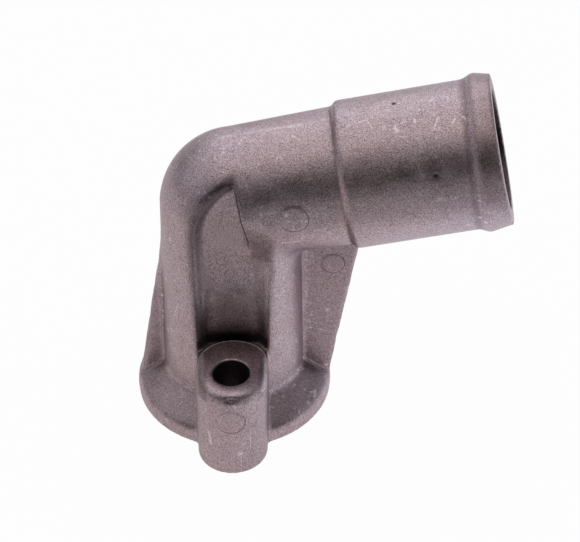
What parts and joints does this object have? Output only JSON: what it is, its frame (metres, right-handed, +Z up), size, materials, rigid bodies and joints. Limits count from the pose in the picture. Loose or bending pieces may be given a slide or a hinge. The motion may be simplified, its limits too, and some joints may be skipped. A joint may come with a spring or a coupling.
{
  "type": "coolant outlet housing",
  "caption": "Die-cast aluminium coolant elbow: round bolted flange, riser with bolt-head pockets and webs, and a sloping beaded hose spigot.",
  "frame": {"origin": "centre of the flange's seat face, midway between the bolt holes", "axes": "+Z up the riser, away from the seat face; +X under the outlet; the parting plane is Y = 0"},
  "size_m": [0.1004, 0.0734, 0.0973],
  "materials": {
    "cast_aluminium": "shot-blasted die casting, satin"
  },
  "bodies": {
    "root": {"housing": "cast_aluminium"}
  },
  "joints": []
}
